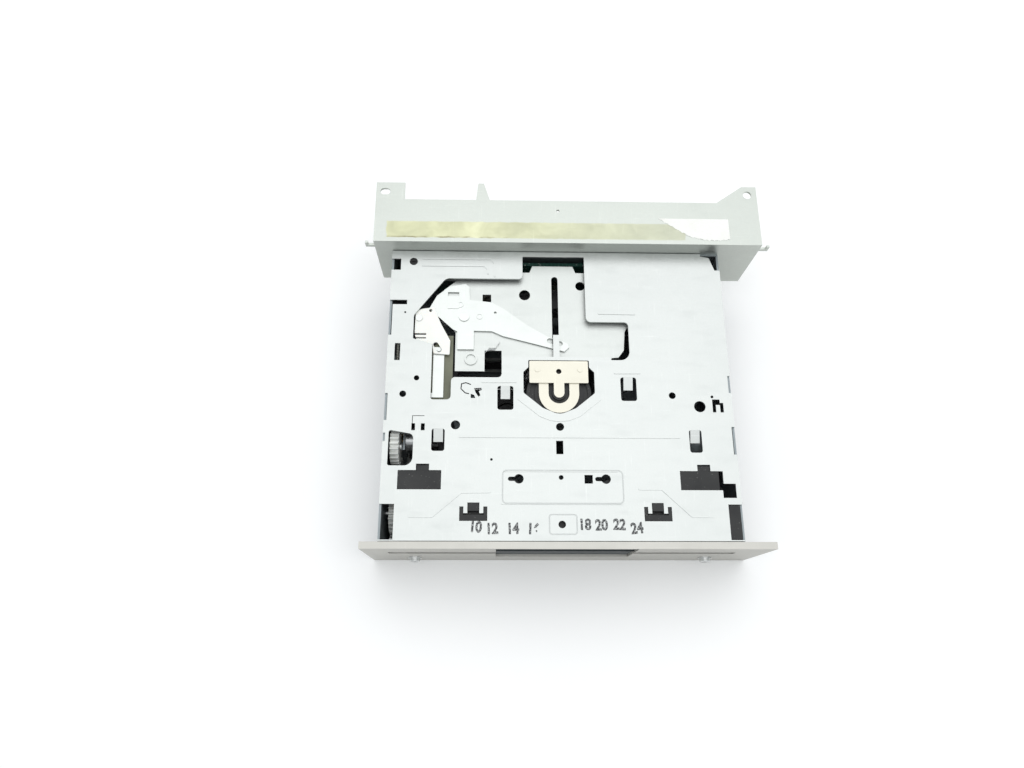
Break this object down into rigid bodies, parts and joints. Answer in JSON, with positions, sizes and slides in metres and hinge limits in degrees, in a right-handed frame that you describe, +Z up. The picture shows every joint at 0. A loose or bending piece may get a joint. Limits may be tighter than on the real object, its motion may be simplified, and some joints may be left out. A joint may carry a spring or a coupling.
{
  "type": "car cd changer deck",
  "caption": "Bare in-dash disc changer deck: steel box with a slotted front plate, cut-out lid over a lever and disc clamp, and a raised rear mounting bracket.",
  "frame": {"origin": "on the turntable axis, at the chassis's flat underside", "axes": "+X to the right seen from the disc slot, +Y to the rear, +Z up; the disc slot faces -Y"},
  "size_m": [0.2019, 0.1836, 0.0595],
  "materials": {
    "bright_zinc_lid": "satin zinc-plated sheet with spangle",
    "dull_zinc_chassis": "dull galvanised sheet",
    "warm_zinc_front": "galvanised sheet with a warm cast",
    "blue_zinc_bracket": "blue-grey galvanised sheet",
    "screw_steel": "nickel-plated screw",
    "pin_steel": "ground steel",
    "dark_pin_steel": "blackened steel",
    "motor_can": "drawn steel can",
    "mechanism_steel": "pressed zinc-plated sheet",
    "lever_steel": "pressed zinc-plated sheet",
    "clamp_steel": "cream-toned plated sheet",
    "spring_wire": "drawn spring wire",
    "black_plastic": "moulded, fine grain",
    "black_rubber": "moulded rubber",
    "white_plastic": "moulded acetal",
    "grey_plastic": "moulded acetal",
    "tray_plastic": "moulded, smooth",
    "olive_plastic": "moulded, greased",
    "circuit_board": "green solder mask",
    "cream_connector": "moulded nylon",
    "brass_pinion": "turned brass",
    "lens_glass": "coated lens",
    "paper": "plain paper"
  },
  "bodies": {
    "deck": {"lid": "bright_zinc_lid", "bottom_chassis": "dull_zinc_chassis", "front_plate": "warm_zinc_front", "front_screws": "screw_steel", "rear_bracket": "blue_zinc_bracket", "bracket_screws": "screw_steel", "blank_label": "paper", "gear_studs": "pin_steel", "roller_bracket_left": "dull_zinc_chassis", "roller_bracket_right": "black_plastic", "upper_disc_guide": "black_plastic", "loading_motor": "motor_can", "motor_brackets": "dull_zinc_chassis", "lift_motor": "motor_can", "floor_guides": "black_plastic", "main_board": "circuit_board", "rear_connectors": "cream_connector", "mechanism_plate": "mechanism_steel", "plate_screw": "screw_steel", "rear_screw_bearings": "black_plastic", "lever_pivots": "dark_pin_steel", "slide_rail": "olive_plastic", "ground_spring": "spring_wire"},
    "loading_roller": {"roller_shaft": "pin_steel", "roller_sleeves": "black_rubber", "roller_gear": "white_plastic"},
    "front_idler": {"front_idler_gear": "white_plastic"},
    "rear_idler": {"rear_idler_gear": "white_plastic"},
    "upper_train_gear": {"upper_gear": "white_plastic"},
    "loading_pinion": {"loading_motor_pinion": "brass_pinion"},
    "ring": {"ring_gear": "grey_plastic"},
    "lift_pinion": {"lift_motor_pinion": "brass_pinion"},
    "screw_front_left": {"lift_screw_front_left": "grey_plastic"},
    "screw_front_right": {"lift_screw_front_right": "grey_plastic"},
    "screw_rear_left": {"lift_screw_rear_left": "grey_plastic"},
    "screw_rear_right": {"lift_screw_rear_right": "grey_plastic"},
    "tray_1": {"disc_tray_1": "tray_plastic"},
    "tray_2": {"disc_tray_2": "tray_plastic"},
    "tray_3": {"disc_tray_3": "tray_plastic"},
    "tray_4": {"disc_tray_4": "tray_plastic"},
    "tray_5": {"disc_tray_5": "tray_plastic"},
    "tray_6": {"disc_tray_6": "tray_plastic"},
    "play_unit": {"play_unit_frame": "mechanism_steel", "dampers": "black_rubber", "traverse_base": "black_plastic", "guide_rods": "pin_steel", "spindle_motor": "motor_can", "feed_motor": "motor_can"},
    "turntable": {"turntable": "grey_plastic", "chuck_jaws": "white_plastic"},
    "pickup": {"pickup_sled": "black_plastic", "objective_lens": "lens_glass"},
    "feed_screw_body": {"feed_screw": "pin_steel"},
    "lever": {"lever_arm": "lever_steel"},
    "stop": {"stop_pin": "black_plastic"},
    "mode_bar": {"slide_bar": "lever_steel"},
    "selector": {"selector_lever": "white_plastic"},
    "clamp": {"clamp_arm": "clamp_steel", "clamp_spring": "clamp_steel"},
    "puck": {"clamper": "black_plastic"}
  },
  "joints": [
    {"name": "roller_spin", "type": "hinge", "parent": "deck", "child": "loading_roller", "pos_m": [0, -0.0663, 0.0288], "axis": [1, 0, 0], "continuous": true},
    {"name": "front_idler_spin", "type": "hinge", "parent": "deck", "child": "front_idler", "pos_m": [-0.0772, -0.05467, 0.03303], "axis": [1, 0, 0], "continuous": true},
    {"name": "rear_idler_spin", "type": "hinge", "parent": "deck", "child": "rear_idler", "pos_m": [-0.0772, -0.03689, 0.03027], "axis": [1, 0, 0], "continuous": true},
    {"name": "upper_gear_spin", "type": "hinge", "parent": "deck", "child": "upper_train_gear", "pos_m": [-0.0772, -0.0248, 0.0415], "axis": [1, 0, 0], "continuous": true},
    {"name": "loading_pinion_spin", "type": "hinge", "parent": "deck", "child": "loading_pinion", "pos_m": [-0.0772, -0.01955, 0.03241], "axis": [1, 0, 0], "continuous": true},
    {"name": "ring_turn", "type": "hinge", "parent": "deck", "child": "ring", "pos_m": [0, 0, 0.0023], "axis": [0, 0, 1], "range_deg": [0, 84.96]},
    {"name": "lift_pinion_spin", "type": "hinge", "parent": "deck", "child": "lift_pinion", "pos_m": [0.03001, 0.06435, 0.0023], "axis": [0, 0, 1], "range_deg": [-1424.12, 1]},
    {"name": "screw_front_left_spin", "type": "hinge", "parent": "deck", "child": "screw_front_left", "pos_m": [-0.068, -0.0392, 0.02], "axis": [0, 0, 1], "range_deg": [-496, 1]},
    {"name": "screw_front_right_spin", "type": "hinge", "parent": "deck", "child": "screw_front_right", "pos_m": [0.068, -0.0392, 0.02], "axis": [0, 0, 1], "range_deg": [-496, 1]},
    {"name": "screw_rear_left_spin", "type": "hinge", "parent": "deck", "child": "screw_rear_left", "pos_m": [-0.068, 0.0392, 0.02], "axis": [0, 0, 1], "range_deg": [-496, 1]},
    {"name": "screw_rear_right_spin", "type": "hinge", "parent": "deck", "child": "screw_rear_right", "pos_m": [0.068, 0.0392, 0.02], "axis": [0, 0, 1], "range_deg": [-496, 1]},
    {"name": "tray_1_lift", "type": "slide", "parent": "deck", "child": "tray_1", "axis": [0, 0, 1], "range_m": [-0.0001, 0.0111]},
    {"name": "tray_2_lift", "type": "slide", "parent": "deck", "child": "tray_2", "axis": [0, 0, 1], "range_m": [-0.0001, 0.0111]},
    {"name": "tray_3_lift", "type": "slide", "parent": "deck", "child": "tray_3", "axis": [0, 0, 1], "range_m": [-0.0001, 0.0111]},
    {"name": "tray_4_lift", "type": "slide", "parent": "deck", "child": "tray_4", "axis": [0, 0, 1], "range_m": [-0.0001, 0.0111]},
    {"name": "tray_5_lift", "type": "slide", "parent": "deck", "child": "tray_5", "axis": [0, 0, 1], "range_m": [-0.0001, 0.0111]},
    {"name": "tray_6_lift", "type": "slide", "parent": "deck", "child": "tray_6", "axis": [0, 0, 1], "range_m": [-0.0001, 0.0111]},
    {"name": "play_unit_lift", "type": "slide", "parent": "deck", "child": "play_unit", "axis": [0, 0, 1], "range_m": [0, 0.007]},
    {"name": "turntable_spin", "type": "hinge", "parent": "play_unit", "child": "turntable", "pos_m": [0, 0, 0.0137], "axis": [0, 0, 1], "continuous": true},
    {"name": "pickup_feed", "type": "slide", "parent": "play_unit", "child": "pickup", "axis": [-1, 0, 0], "range_m": [0, 0.034]},
    {"name": "feed_screw_spin", "type": "hinge", "parent": "play_unit", "child": "feed_screw_body", "pos_m": [-0.04, 0.022, 0.0069], "axis": [1, 0, 0], "range_deg": [-1, 4081]},
    {"name": "lever_swing", "type": "hinge", "parent": "deck", "child": "lever", "pos_m": [-0.046, 0.04, 0.0471], "axis": [0, 0, 1], "range_deg": [0, 36.08]},
    {"name": "stop_slide", "type": "slide", "parent": "deck", "child": "stop", "axis": [0, 1, 0], "range_m": [-0.0001, 0.0295]},
    {"name": "mode_bar_slide", "type": "slide", "parent": "deck", "child": "mode_bar", "axis": [0, 1, 0], "range_m": [0, 0.003]},
    {"name": "selector_swing", "type": "hinge", "parent": "deck", "child": "selector", "pos_m": [-0.0679, 0.0385, 0.0483], "axis": [0, 0, 1], "range_deg": [-0.1, 5.43]},
    {"name": "clamp_hinge", "type": "hinge", "parent": "deck", "child": "clamp", "pos_m": [0, 0.017, 0.049], "axis": [-1, 0, 0], "range_deg": [0, 1.8]},
    {"name": "puck_spin", "type": "hinge", "parent": "clamp", "child": "puck", "pos_m": [0, 0, 0.0476], "axis": [0, 0, 1], "continuous": true}
  ],
  "couplings": [
    {"joint": "front_idler_spin", "follows": "roller_spin", "ratio": -0.375},
    {"joint": "rear_idler_spin", "follows": "roller_spin", "ratio": 0.375},
    {"joint": "upper_gear_spin", "follows": "roller_spin", "ratio": -0.45},
    {"joint": "loading_pinion_spin", "follows": "roller_spin", "ratio": 1.125},
    {"joint": "lift_pinion_spin", "follows": "ring_turn", "ratio": -16.75},
    {"joint": "screw_front_left_spin", "follows": "ring_turn", "ratio": -5.8261},
    {"joint": "screw_front_right_spin", "follows": "ring_turn", "ratio": -5.8261},
    {"joint": "screw_rear_left_spin", "follows": "ring_turn", "ratio": -5.8261},
    {"joint": "screw_rear_right_spin", "follows": "ring_turn", "ratio": -5.8261},
    {"joint": "tray_1_lift", "follows": "ring_turn", "m_per_rad": 0.007418},
    {"joint": "tray_2_lift", "follows": "ring_turn", "m_per_rad": 0.007418},
    {"joint": "tray_3_lift", "follows": "ring_turn", "m_per_rad": 0.007418},
    {"joint": "tray_4_lift", "follows": "ring_turn", "m_per_rad": 0.007418},
    {"joint": "tray_5_lift", "follows": "ring_turn", "m_per_rad": 0.007418},
    {"joint": "tray_6_lift", "follows": "ring_turn", "m_per_rad": 0.007418},
    {"joint": "feed_screw_spin", "follows": "pickup_feed", "rad_per_m": 2094.4},
    {"joint": "stop_slide", "follows": "lever_swing", "m_per_rad": 0.046687},
    {"joint": "selector_swing", "follows": "mode_bar_slide", "rad_per_m": 31.01}
  ]
}
